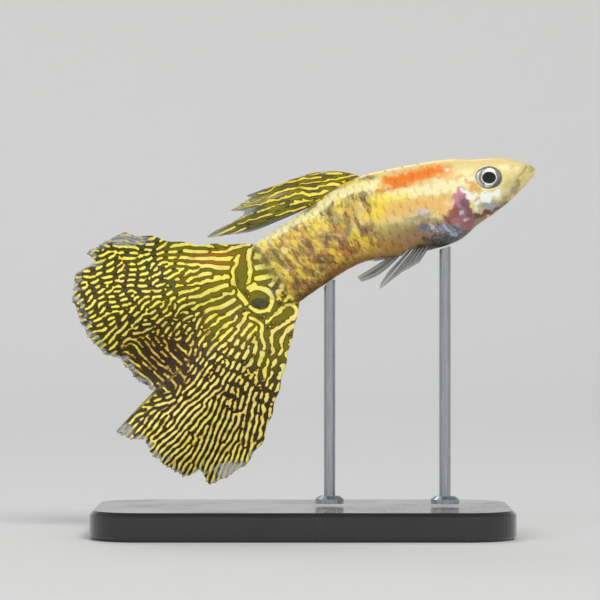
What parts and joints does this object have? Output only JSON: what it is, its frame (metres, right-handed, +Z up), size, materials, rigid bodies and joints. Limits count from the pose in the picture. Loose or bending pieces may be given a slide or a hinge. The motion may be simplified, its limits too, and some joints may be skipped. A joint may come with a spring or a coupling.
{
  "type": "fancy guppy display model",
  "caption": "Life-size male fancy guppy with a large fan tail, swimming, held over a flat base by two thin rods.",
  "frame": {"origin": "on the floor, under the middle of the whole model's box", "axes": "+X towards the snout, +Y the fish's left, +Z up"},
  "size_m": [0.0488, 0.024, 0.0396],
  "materials": {
    "skin": "wet satin skin, gold with orange, white and grey patches",
    "patterned_fin": "thin membrane, yellow maze pattern on dark olive",
    "clear_fin": "thin, partly clear grey membrane",
    "eye": "wet gloss, black pupil in a silver iris",
    "stand_plate": "satin black acrylic",
    "stand_rod": "fine brushed"
  },
  "bodies": {
    "root": {"head": "skin", "trunk": "skin", "tail_stalk": "skin", "eye_left": "eye", "eye_right": "eye", "tail_fin": "patterned_fin", "dorsal_fin": "patterned_fin", "anal_fin": "clear_fin", "pelvic_fin_left": "clear_fin", "pelvic_fin_right": "clear_fin", "pectoral_fin_left": "clear_fin", "pectoral_fin_right": "clear_fin", "stand_base": "stand_plate", "stand_rod_front": "stand_rod", "stand_rod_rear": "stand_rod"}
  },
  "joints": []
}
